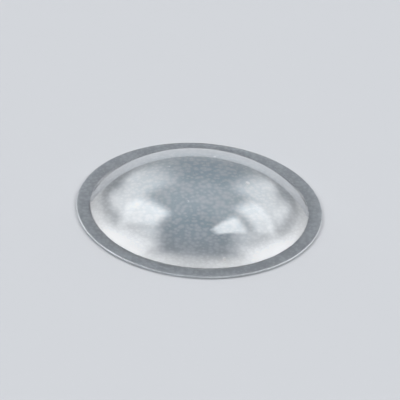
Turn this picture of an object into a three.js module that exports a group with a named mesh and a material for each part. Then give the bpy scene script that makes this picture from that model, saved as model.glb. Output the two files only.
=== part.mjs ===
// A clear self-adhesive cabinet door bumper, in millimetres, +Z up.
// It is one moulded dome of soft clear urethane with a thin round skirt, on a disc of clear adhesive.
// The origin is the centre of the adhesive's underside, and +Z leaves through the middle of the crown.
import * as THREE from 'three';

// Driving dimensions
const footDiameter = 7.9; // where the dome runs out into the skirt's flat top
const overallHeight = 1.5; // from the adhesive's underside to the top of the crown
const crownRadius = 6.5; // the large flat sphere that the door meets
const crownDiameter = 5.2; // how far across the crown's sphere reaches before the shoulder turns down
const footFillet = 0.05; // the small hollow between the shoulder and the skirt
const skirtWidth = 0.5; // from the dome's foot out to the cut edge, which the adhesive below it shares
const skirtThickness = 0.05;
const adhesiveThickness = 0.05;

const skirtRadius = footDiameter / 2 + skirtWidth;

// How finely the round shapes are divided
const segmentsAround = 72;
const crownSteps = 9;
const shoulderSteps = 8;
const filletSteps = 3;

const clearUrethane = new THREE.MeshStandardMaterial({
  color: 0xdfe6ea,
  roughness: 0.06,
  metalness: 0,
  transparent: true,
  opacity: 0.35,
});
const clearAdhesive = new THREE.MeshStandardMaterial({
  color: 0xd3d9dc,
  roughness: 0.4,
  metalness: 0,
  transparent: true,
  opacity: 0.5,
});

// Points of a round stretch of outline. Angles are measured from +Z towards +X, and both ends are given.
function arc(centre, radius, startAngle, endAngle, steps) {
  const points = [];
  for (let step = 0; step <= steps; step += 1) {
    const angle = startAngle + ((endAngle - startAngle) * step) / steps;
    const x = centre.x + radius * Math.sin(angle);
    const y = centre.y + radius * Math.cos(angle);
    points.push(new THREE.Vector2(x, y));
  }
  return points;
}

// A closed solid of revolution about +Z, from an outline that runs from the axis round to the axis again.
function turned(name, outline, material) {
  const geometry = new THREE.LatheGeometry(outline, segmentsAround);
  geometry.rotateX(Math.PI / 2);
  const mesh = new THREE.Mesh(geometry, material);
  mesh.name = name;
  return mesh;
}

// The moulded body: crown, shoulder, hollow at the foot, then the skirt's flat top and its cut edge.
// The hollow touches the skirt's top where the foot ends. The shoulder is the one round that touches
// the crown where the crown ends and the hollow on its other side, so the whole profile is smooth.
function bumperBody() {
  const underside = adhesiveThickness;
  const skirtTop = underside + skirtThickness;

  const crown = new THREE.Vector2(0, overallHeight - crownRadius);
  const crownEnd = Math.asin(crownDiameter / 2 / crownRadius);
  const outwards = new THREE.Vector2(Math.sin(crownEnd), Math.cos(crownEnd));
  const crownRim = crown.clone().addScaledVector(outwards, crownRadius);

  // the shoulder's centre lies inwards from the crown's rim, and its radius and the hollow's add up
  // to the distance between their centres
  const hollow = new THREE.Vector2(footDiameter / 2, skirtTop + footFillet);
  const fromHollow = crownRim.clone().sub(hollow);
  const reach = footFillet + outwards.dot(fromHollow);
  const shoulderRadius = (fromHollow.lengthSq() - footFillet ** 2) / (2 * reach);
  const shoulder = crownRim.clone().addScaledVector(outwards, -shoulderRadius);
  const shoulderEnd = Math.atan2(hollow.x - shoulder.x, hollow.y - shoulder.y);

  const crownArc = arc(crown, crownRadius, 0, crownEnd, crownSteps);
  const shoulderArc = arc(shoulder, shoulderRadius, crownEnd, shoulderEnd, shoulderSteps);
  const hollowArc = arc(hollow, footFillet, shoulderEnd + Math.PI, Math.PI, filletSteps);

  const outline = [
    ...crownArc,
    ...shoulderArc.slice(1),
    ...hollowArc.slice(1),
    new THREE.Vector2(skirtRadius, skirtTop),
    new THREE.Vector2(skirtRadius, underside),
    new THREE.Vector2(0, underside),
  ];
  return turned('bumper_body', outline.reverse(), clearUrethane);
}

// The adhesive: a plain disc, cut in the same stroke as the skirt, so their edges are flush.
function adhesiveDisc() {
  const outline = [
    new THREE.Vector2(0, 0),
    new THREE.Vector2(skirtRadius, 0),
    new THREE.Vector2(skirtRadius, adhesiveThickness),
    new THREE.Vector2(0, adhesiveThickness),
  ];
  return turned('adhesive_disc', outline, clearAdhesive);
}

const bumper = new THREE.Group();
bumper.add(bumperBody());
bumper.add(adhesiveDisc());

export default bumper;
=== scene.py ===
import math

import bpy
import numpy as np
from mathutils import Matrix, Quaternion, Vector


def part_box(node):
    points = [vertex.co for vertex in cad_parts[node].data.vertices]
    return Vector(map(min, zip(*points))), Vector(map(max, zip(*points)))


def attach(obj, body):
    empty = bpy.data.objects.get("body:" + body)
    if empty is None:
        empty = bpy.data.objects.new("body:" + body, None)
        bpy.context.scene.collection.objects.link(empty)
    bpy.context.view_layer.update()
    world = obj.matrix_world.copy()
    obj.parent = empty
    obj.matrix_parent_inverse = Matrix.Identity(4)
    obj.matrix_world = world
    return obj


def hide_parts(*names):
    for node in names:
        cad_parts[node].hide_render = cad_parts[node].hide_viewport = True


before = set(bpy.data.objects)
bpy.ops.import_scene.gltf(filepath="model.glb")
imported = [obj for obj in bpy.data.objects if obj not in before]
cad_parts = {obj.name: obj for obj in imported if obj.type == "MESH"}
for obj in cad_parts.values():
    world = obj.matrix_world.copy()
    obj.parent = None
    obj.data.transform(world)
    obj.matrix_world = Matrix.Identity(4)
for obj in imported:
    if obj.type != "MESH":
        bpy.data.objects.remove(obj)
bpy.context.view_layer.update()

mm = 0.001
levelWithin = 1e-9  # heights that differ by less than this are the same


# Small helpers

def linearColour(hexText):
    # sRGB hex to the linear numbers that shaders work in
    channels = [int(hexText[i:i + 2], 16) / 255 for i in (1, 3, 5)]
    linear = [c / 12.92 if c <= 0.04045 else ((c + 0.055) / 1.055) ** 2.4 for c in channels]
    return (*linear, 1.0)


def newMaterial(name, **sockets):
    material = bpy.data.materials.new(name)
    material.use_nodes = True
    shader = material.node_tree.nodes["Principled BSDF"]
    for socket, value in sockets.items():
        shader.inputs[socket.replace("_", " ")].default_value = value
    return material


def addNode(tree, kind, settings=None, inputs=None):
    # one node with its settings, and for each input either a number or the output that feeds it
    node = tree.nodes.new(kind)
    for name, value in (settings or {}).items():
        setattr(node, name, value)
    for name, value in (inputs or {}).items():
        if isinstance(value, bpy.types.NodeSocket):
            tree.links.new(value, node.inputs[name])
        else:
            node.inputs[name].default_value = value
    return node


def addMesh(name, vertices, faces, materials, faceMaterial=None, sharpAngle=40):
    # a smooth mesh that keeps its edges sharp where two faces meet at more than sharpAngle degrees
    mesh = bpy.data.meshes.new(name)
    mesh.from_pydata(vertices.tolist(), [], faces)
    mesh.polygons.foreach_set("use_smooth", np.ones(len(faces), dtype=bool))
    for material in materials:
        mesh.materials.append(material)
    if faceMaterial is not None:
        mesh.polygons.foreach_set("material_index", np.asarray(faceMaterial, dtype=np.int32))
    mesh.update()
    mesh.set_sharp_from_angle(angle=math.radians(sharpAngle))
    piece = bpy.data.objects.new(name, mesh)
    bpy.context.scene.collection.objects.link(piece)
    return piece


def arcPoints(centre, radius, startAngle, endAngle, count):
    # points on a circle in the profile's plane, at angles measured from straight up towards outwards
    angle = np.linspace(startAngle, endAngle, count)
    return np.column_stack([centre[0] + radius * np.sin(angle), centre[1] + radius * np.cos(angle)])


def linePoints(start, end, count):
    # points at even steps from the start to the end
    share = np.linspace(0, 1, count)[:, None]
    return np.asarray(start) * (1 - share) + np.asarray(end) * share


def turnedSurface(profile, around):
    # each profile point (r, z) is carried once round the axis: x = r cos a, y = r sin a, z as it is.
    # The first and last points lie on the axis, and each is one vertex with a fan of triangles.
    angle = np.arange(around) * 2 * math.pi / around
    rings = profile[1:-1]
    x = np.outer(rings[:, 0], np.cos(angle))
    y = np.outer(rings[:, 0], np.sin(angle))
    z = np.repeat(rings[:, 1:2], around, axis=1)
    wall = np.stack([x, y, z], axis=-1).reshape(-1, 3)
    vertices = np.vstack([[0, 0, profile[0, 1]], wall, [0, 0, profile[-1, 1]]])

    here = np.arange(around)
    following = (here + 1) % around
    rows = 1 + np.arange(len(rings) - 1)[:, None] * around
    below = rows + around
    quads = np.stack([rows + here, below + here, below + following, rows + following], axis=-1)
    lastRing = 1 + (len(rings) - 1) * around
    topFan = np.column_stack([np.zeros(around, dtype=int), 1 + here, 1 + following])
    bottomFan = np.column_stack([lastRing + here, np.full(around, len(vertices) - 1), lastRing + following])
    faces = topFan.tolist() + quads.reshape(-1, 4).tolist() + bottomFan.tolist()
    return vertices, faces


# Materials

urethane = {
    "index": 1.5,
    "coatIndex": 2.5,  # stronger than the real skin's gloss, which is too weak under a plain level of light
    "hillSpacing": 0.9 * mm,  # the mould's faint unevenness, only seen as a slight waver in highlights
    "hillHeight": 0.004 * mm,
}


def makeClearUrethane():
    # cast soft urethane, clear as glass: a sharp gloss with a faint cool tint where it is thick
    material = newMaterial(
        "clear cast urethane",
        Base_Color=linearColour("#F5F9FC"), IOR=urethane["index"], Roughness=0.01, Transmission_Weight=1.0,
        Coat_Weight=1.0, Coat_Roughness=0.01, Coat_IOR=urethane["coatIndex"])
    tree = material.node_tree
    place = addNode(tree, "ShaderNodeTexCoord")
    hills = addNode(tree, "ShaderNodeTexNoise", inputs={
        "Vector": place.outputs["Object"], "Scale": 1 / urethane["hillSpacing"], "Detail": 1.0})
    bump = addNode(tree, "ShaderNodeBump", inputs={
        "Height": hills.outputs["Fac"], "Strength": 0.25, "Distance": urethane["hillHeight"]})
    tree.links.new(bump.outputs["Normal"], tree.nodes["Principled BSDF"].inputs["Normal"])
    return material


def makeBondedFace():
    # where adhesive wets urethane, 1.49 meets 1.47, so light runs on almost straight and nothing glints
    return newMaterial(
        "urethane bonded to adhesive",
        Base_Color=linearColour("#FCFDFE"), IOR=1.01, Roughness=0.0, Transmission_Weight=1.0)


def makePaintedGlintBubble():
    # a bubble filled with plain matt white, a painted glint that shows as a bright white point
    return newMaterial("white bubble as painted glint", Base_Color=linearColour("#FFFFFF"), Roughness=0.5)


def makeClearAdhesive():
    # acrylic pressure-sensitive adhesive, a clear film that is faintly grey and a little hazy
    return newMaterial(
        "clear acrylic adhesive",
        Base_Color=linearColour("#F8FAFC"), IOR=1.47, Roughness=0.12, Transmission_Weight=0.85)


flecks = {
    "spacing": 0.17 * mm,  # from one fleck to the next
    "patchSize": 0.5 * mm,  # flecks are larger and smaller by turns over about this distance
    "patchRange": (0.35, 0.65),  # the noise lies mostly between these
    "reach": (0.25, 1.1),  # the smallest and the largest fleck, as a share of the spacing
    "coolInside": 1.3 * mm,  # the film looks faintly blue under the middle of the dome, as far out as this
    "neutralOutside": 3.4 * mm,
}


def makeFleckedFace():
    # the same adhesive where it wets the urethane: nothing glints, but tiny pockets of air scatter pale light
    material = newMaterial("adhesive with air flecks", IOR=1.01, Roughness=0.05, Transmission_Weight=0.35)
    tree = material.node_tree
    place = addNode(tree, "ShaderNodeTexCoord")
    cells = addNode(tree, "ShaderNodeTexVoronoi", {"voronoi_dimensions": "2D"}, {
        "Vector": place.outputs["Object"], "Scale": 1 / flecks["spacing"]})
    patches = addNode(tree, "ShaderNodeTexNoise", inputs={
        "Vector": place.outputs["Object"], "Scale": 1 / flecks["patchSize"], "Detail": 2.0})
    leastNoise, mostNoise = flecks["patchRange"]
    leastReach, mostReach = flecks["reach"]
    reach = addNode(tree, "ShaderNodeMapRange", inputs={
        "Value": patches.outputs["Fac"], "From Min": leastNoise, "From Max": mostNoise,
        "To Min": leastReach, "To Max": mostReach})
    fleck = addNode(tree, "ShaderNodeMapRange", {"interpolation_type": "SMOOTHSTEP"}, {
        "Value": cells.outputs["Distance"], "From Min": 0.0, "From Max": reach.outputs["Result"],
        "To Min": 1.0, "To Max": 0.0})
    # where the dome is thick the film under it looks cooler than at the rim and under the skirt, so the
    # tint goes by the distance from the axis, which is the length of the place with its height left out
    level = addNode(tree, "ShaderNodeVectorMath", {"operation": "MULTIPLY"}, {
        0: place.outputs["Object"], 1: (1, 1, 0)})
    fromAxis = addNode(tree, "ShaderNodeVectorMath", {"operation": "LENGTH"}, {0: level.outputs["Vector"]})
    under = addNode(tree, "ShaderNodeMapRange", {"interpolation_type": "SMOOTHSTEP"}, {
        "Value": fromAxis.outputs["Value"], "To Min": 1.0, "To Max": 0.0,
        "From Min": flecks["coolInside"], "From Max": flecks["neutralOutside"]})
    film = addNode(tree, "ShaderNodeMix", {"data_type": "RGBA"}, {
        "Factor": under.outputs["Result"], "A": linearColour("#E2E5E9"), "B": linearColour("#D8E6EE")})
    tint = addNode(tree, "ShaderNodeMix", {"data_type": "RGBA"}, {
        "Factor": fleck.outputs["Result"], "A": film.outputs["Result"], "B": linearColour("#F6F9FC")})
    tree.links.new(tint.outputs["Result"], tree.nodes["Principled BSDF"].inputs["Base Color"])
    return material


card = {
    "toothSpacing": 0.12 * mm,
    "toothHeight": 0.01 * mm,
}


def makePaleCard():
    # plain matt card for the floor, with a very faint tooth
    material = newMaterial("pale matt card", Base_Color=linearColour("#C9CCD1"), Roughness=0.75)
    tree = material.node_tree
    place = addNode(tree, "ShaderNodeTexCoord")
    tooth = addNode(tree, "ShaderNodeTexNoise", inputs={
        "Vector": place.outputs["Object"], "Scale": 1 / card["toothSpacing"], "Detail": 2.0})
    bump = addNode(tree, "ShaderNodeBump", inputs={
        "Height": tooth.outputs["Fac"], "Strength": 0.2, "Distance": card["toothHeight"]})
    tree.links.new(bump.outputs["Normal"], tree.nodes["Principled BSDF"].inputs["Normal"])
    return material


# The moulded body

body = {
    "footRadius": 3.95 * mm,  # where the dome runs out into the skirt's flat top
    "crownRadius": 6.5 * mm,
    "crownReach": 2.6 * mm,  # how far from the axis the crown's large round goes
    "footFillet": 0.05 * mm,
    "skirtThickness": 0.05 * mm,
    "edgeRound": 0.04 * mm,  # the skirt's cut edge is very slightly rounded over
    "around": 256,
    # how many points each stretch of the profile has
    "crownPoints": 64,
    "shoulderPoints": 48,
    "hollowPoints": 16,
    "skirtPoints": 7,
    "edgePoints": 6,
    "wallPoints": 3,
    "undersidePoints": 24,
    "bubbleRings": 12,
    # tiny air bubbles that the casting trapped, drawn white as painted glints: x, y, height above the
    # adhesive, and radius, in mm
    "bubbles": [
        {"place": (1.64, 0.20, 1.00), "radius": 0.085},
        {"place": (0.40, 1.90, 0.80), "radius": 0.045},
        {"place": (1.00, -3.42, 0.17), "radius": 0.07},
        {"place": (-1.10, 1.20, 0.45), "radius": 0.03},
        {"place": (-0.40, -1.00, 0.70), "radius": 0.025},
    ],
}


def bodyProfile():
    # crown arc, shoulder arc inside it, hollow outside the shoulder, then the skirt's top, edge and underside
    low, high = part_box("bumper_body")
    underside, top, skirtRadius = low.z, high.z, high.x
    skirtTop = underside + body["skirtThickness"]

    # The shoulder's round touches the crown where the crown ends, and the hollow at the foot. Its radius and
    # the hollow's add up to the distance between their centres.
    crownRadius, hollowRadius = body["crownRadius"], body["footFillet"]
    crownCentre = np.array([0, top - crownRadius])
    crownEnd = math.asin(body["crownReach"] / crownRadius)
    outwards = np.array([math.sin(crownEnd), math.cos(crownEnd)])
    crownRim = crownCentre + crownRadius * outwards
    hollowCentre = np.array([body["footRadius"], skirtTop + hollowRadius])
    gap = crownRim - hollowCentre
    shoulderRadius = (gap @ gap - hollowRadius ** 2) / (2 * (hollowRadius + outwards @ gap))
    shoulderCentre = crownRim - shoulderRadius * outwards
    shoulderEnd = math.atan2(*(hollowCentre - shoulderCentre))

    edgeCentre = np.array([skirtRadius - body["edgeRound"], skirtTop - body["edgeRound"]])
    return np.vstack([
        arcPoints(crownCentre, crownRadius, 0, crownEnd, body["crownPoints"]),
        arcPoints(shoulderCentre, shoulderRadius, crownEnd, shoulderEnd, body["shoulderPoints"])[1:],
        arcPoints(hollowCentre, hollowRadius, shoulderEnd + math.pi, math.pi, body["hollowPoints"])[1:],
        linePoints((hollowCentre[0], skirtTop), (edgeCentre[0], skirtTop), body["skirtPoints"])[1:],
        arcPoints(edgeCentre, body["edgeRound"], 0, math.pi / 2, body["edgePoints"])[1:],
        linePoints((skirtRadius, edgeCentre[1]), (skirtRadius, underside), body["wallPoints"])[1:],
        linePoints((skirtRadius, underside), (0, underside), body["undersidePoints"])[1:],
    ])


def bubbleSurface(bubble):
    # a small sphere, a half circle carried round, with its faces turned because the urethane is outside it
    centre = np.array(bubble["place"]) * mm + [0, 0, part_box("bumper_body")[0].z]
    profile = arcPoints((0, 0), bubble["radius"] * mm, 0, math.pi, body["bubbleRings"])
    vertices, faces = turnedSurface(profile, 2 * body["bubbleRings"])
    return vertices + centre, [face[::-1] for face in faces]


def buildBody():
    moulded, bonded, paintedGlint = range(3)
    vertices, faces = turnedSurface(bodyProfile(), body["around"])
    heights = vertices[:, 2]
    lowest = heights.min() + levelWithin
    finish = [bonded if all(heights[v] < lowest for v in face) else moulded for face in faces]
    # each bubble gets the plain white finish, a painted glint
    for bubble in body["bubbles"]:
        moreVertices, moreFaces = bubbleSurface(bubble)
        start = len(vertices)
        vertices = np.vstack([vertices, moreVertices])
        faces = faces + [[v + start for v in face] for face in moreFaces]
        finish += [paintedGlint] * len(moreFaces)
    materials = [makeClearUrethane(), makeBondedFace(), makePaintedGlintBubble()]
    piece = addMesh("moulded_bumper", vertices, faces, materials, finish)
    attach(piece, "root")
    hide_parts("bumper_body")


# The adhesive

adhesive = {
    "edgeRound": 0.01 * mm,
    "around": 256,
    "flatPoints": 24,
    "edgePoints": 5,
    "bedding": 0.002 * mm,  # keeps the film's top just clear of the body's underside
}


def buildAdhesive():
    # a flat disc with its two edges slightly rounded
    low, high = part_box("adhesive_disc")
    top = high.z - adhesive["bedding"]
    roundOff = adhesive["edgeRound"]
    flatPoints, edgePoints = adhesive["flatPoints"], adhesive["edgePoints"]
    flatRadius = high.x - roundOff
    profile = np.vstack([
        linePoints((0, top), (flatRadius, top), flatPoints),
        arcPoints((flatRadius, top - roundOff), roundOff, 0, math.pi / 2, edgePoints)[1:],
        arcPoints((flatRadius, low.z + roundOff), roundOff, math.pi / 2, math.pi, edgePoints),
        linePoints((flatRadius, low.z), (0, low.z), flatPoints)[1:],
    ])
    vertices, faces = turnedSurface(profile, adhesive["around"])
    heights = vertices[:, 2]
    onTop = [all(heights[v] > top - levelWithin for v in face) for face in faces]
    piece = addMesh("adhesive_film", vertices, faces, [makeClearAdhesive(), makeFleckedFace()], onTop)
    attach(piece, "root")
    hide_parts("adhesive_disc")


# Floor, light and camera

studio = {
    "floorRadius": 0.8,  # the floor is flat this far out, and then sweeps up to hide its own edge
    "floorPoints": 3,
    "floorAround": 256,
    "sweepRadius": 0.6,
    "sweepAngle": 30,  # degrees, as all angles here
    "sweepPoints": 24,
    "floorRise": 0.002 * mm,  # lifts the card into the film's underside, so no air lies between them
    "cardThickness": 1 * mm,
    "roomGlow": 0.06,  # what the room gives where no cloth hangs
    "causticBlur": 0.1,  # keeps the bright rim that the dome's foot throws on what is under it
    "elevation": 32.7,
    "roll": 3.9,  # the picture is turned this far clockwise
    "cameraDistance": 0.16,
    "lens": 400,
    "nearClip": 5 * mm,
    "aimHeight": 0.45 * mm,
}

# Soft lit cloths hung round the room. Azimuth 0 is the camera's side and + is to the right. Each span gives,
# in degrees, where a cloth starts, where it is full, until where, and its end. Away is the azimuth on both
# sides alike. Lean is how far from upright a mirror has to lean to show that part of the room to the camera,
# so a span of it is a cloth that curves round the room.
cloths = [
    {"name": "left window", "azimuth": (-152, -140, -123, -111), "elevation": (34, 44, 60, 68), "glow": 2.1},
    {"name": "right window", "azimuth": (110, 120, 138, 148), "elevation": (56, 63, 75, 81), "glow": 2.0},
    {"name": "right blind", "azimuth": (110, 122, 144, 156), "elevation": (36, 44, 50, 60), "glow": 1.9},
    {"name": "left sheet", "azimuth": (-156, -140, -132, -112), "elevation": (4, 20, 34, 46),
     "lean": (0, 5, 30, 38), "glow": 1.7},
    {"name": "left drape", "azimuth": (-176, -156, -155, -140), "elevation": (4, 18, 34, 46),
     "lean": (0, 5, 23, 31), "glow": 1.2},
    {"name": "right sheet", "azimuth": (104, 122, 140, 156), "elevation": (3, 17, 34, 46),
     "lean": (0, 5, 30, 38), "glow": 1.7},
    {"name": "right drape", "azimuth": (140, 156, 157, 170), "elevation": (3, 15, 34, 46),
     "lean": (0, 5, 23, 30), "glow": 1.3},
    {"name": "left curtain", "azimuth": (-124, -108, -84, -50), "elevation": (30, 48, 60, 72),
     "lean": (0, 5, 34, 41), "glow": 1.55},
    {"name": "right curtain", "azimuth": (50, 84, 108, 124), "elevation": (30, 48, 60, 74),
     "lean": (0, 5, 34, 41), "glow": 1.1},
    {"name": "far strips", "away": (70, 92, 106, 152), "lean": (33, 41, 50, 52), "glow": 3.0},
    {"name": "near strips", "away": (15, 72, 74, 92), "lean": (35, 42, 50, 52), "glow": 2.3},
    {"name": "front strip", "away": (-2, -1, 20, 70), "lean": (34, 42, 50, 52), "glow": 1.8},
    {"name": "low walls", "away": (118, 140, 150, 170), "lean": (34, 39, 50, 52), "glow": 0.55},
    {"name": "back ceiling", "away": (115, 150, 181, 182), "elevation": (34, 46, 62, 76), "glow": 0.22},
    {"name": "back wall", "away": (100, 140, 181, 182), "elevation": (-2, -1, 0, 20), "glow": 0.25},
]


def direction(azimuth, elevation):
    # x = sin a cos e, y = -cos a cos e, z = sin e, so that azimuth 0 is the camera's side, at -Y
    a, e = math.radians(azimuth), math.radians(elevation)
    return Vector((math.sin(a) * math.cos(e), -math.cos(a) * math.cos(e), math.sin(e)))


def buildRoom():
    # the world lights the part: its strength in each direction is worked out from that direction's angles
    world = bpy.data.worlds.new("studio room")
    world.use_nodes = True
    tree = world.node_tree
    place = addNode(tree, "ShaderNodeTexCoord")
    toRoom = place.outputs["Generated"]
    parts = addNode(tree, "ShaderNodeSeparateXYZ", inputs={"Vector": toRoom})
    toFront = addNode(tree, "ShaderNodeMath", {"operation": "MULTIPLY"}, {0: parts.outputs["Y"], 1: -1.0})
    turn = addNode(tree, "ShaderNodeMath", {"operation": "ARCTAN2"}, {
        0: parts.outputs["X"], 1: toFront.outputs[0]})
    azimuth = addNode(tree, "ShaderNodeMath", {"operation": "DEGREES"}, {0: turn.outputs[0]})
    away = addNode(tree, "ShaderNodeMath", {"operation": "ABSOLUTE"}, {0: azimuth.outputs[0]})
    rise = addNode(tree, "ShaderNodeMath", {"operation": "ARCSINE"}, {0: parts.outputs["Z"]})
    elevation = addNode(tree, "ShaderNodeMath", {"operation": "DEGREES"}, {0: rise.outputs[0]})
    # the mirror that shows a direction to the camera faces midway between the two
    between = addNode(tree, "ShaderNodeVectorMath", {"operation": "ADD"}, {
        0: toRoom, 1: direction(0, studio["elevation"])})
    midway = addNode(tree, "ShaderNodeVectorMath", {"operation": "NORMALIZE"}, {0: between.outputs["Vector"]})
    upright = addNode(tree, "ShaderNodeSeparateXYZ", inputs={"Vector": midway.outputs["Vector"]})
    tilt = addNode(tree, "ShaderNodeMath", {"operation": "ARCCOSINE"}, {0: upright.outputs["Z"]})
    lean = addNode(tree, "ShaderNodeMath", {"operation": "DEGREES"}, {0: tilt.outputs[0]})
    angles = {"azimuth": azimuth, "away": away, "elevation": elevation, "lean": lean}

    # each cloth's glow is faded in and out over its spans, and the cloths add up
    total = studio["roomGlow"]
    for cloth in cloths:
        share = cloth["glow"]
        for name, angle in angles.items():
            if name not in cloth:
                continue
            start, full, until, end = cloth[name]
            for low, high, atLow, atHigh in ((start, full, 0.0, 1.0), (until, end, 1.0, 0.0)):
                fade = addNode(tree, "ShaderNodeMapRange", {"interpolation_type": "SMOOTHSTEP"}, {
                    "Value": angle.outputs[0], "From Min": low, "From Max": high,
                    "To Min": atLow, "To Max": atHigh})
                faded = addNode(tree, "ShaderNodeMath", {"operation": "MULTIPLY"}, {
                    0: share, 1: fade.outputs["Result"]})
                share = faded.outputs[0]
        added = addNode(tree, "ShaderNodeMath", {"operation": "ADD"}, {0: total, 1: share})
        total = added.outputs[0]
    background = tree.nodes["Background"]
    background.inputs["Color"].default_value = linearColour("#FFFFFF")
    tree.links.new(total, background.inputs["Strength"])
    bpy.context.scene.world = world


def buildFloor():
    # a flat round card that sweeps up at its edge, as a studio backdrop does, closed underneath
    top = studio["floorRise"]
    radius = studio["floorRadius"]
    rise = studio["sweepRadius"]
    sweepEnd = math.pi - math.radians(studio["sweepAngle"])
    sweep = arcPoints((radius, top + rise), rise, math.pi, sweepEnd, studio["sweepPoints"])
    rimRadius = sweep[-1, 0]
    below = -studio["cardThickness"]
    profile = np.vstack([
        linePoints((0, top), (radius, top), studio["floorPoints"]),
        sweep[1:],
        [(rimRadius, below), (0, below)],
    ])
    vertices, faces = turnedSurface(profile, studio["floorAround"])
    floor = addMesh("floor", vertices, faces, [makePaleCard()])


def buildCamera():
    # a long lens, aimed at a point on the bumper's axis a little above its foot
    lens = bpy.data.cameras.new("camera")
    lens.lens = studio["lens"]
    lens.clip_start = studio["nearClip"]
    camera = bpy.data.objects.new("camera", lens)
    bpy.context.scene.collection.objects.link(camera)
    away = direction(0, studio["elevation"])
    camera.location = away * studio["cameraDistance"] + Vector((0, 0, studio["aimHeight"]))
    level = (-away).to_track_quat("-Z", "Y")
    camera.rotation_euler = (level @ Quaternion((0, 0, 1), math.radians(studio["roll"]))).to_euler()
    bpy.context.scene.camera = camera


print("adhesive film")
buildAdhesive()
print("moulded body")
buildBody()
print("floor, light and camera")
buildFloor()
buildRoom()
buildCamera()
bpy.context.scene.view_settings.view_transform = "Standard"
bpy.context.scene.cycles.blur_glossy = studio["causticBlur"]
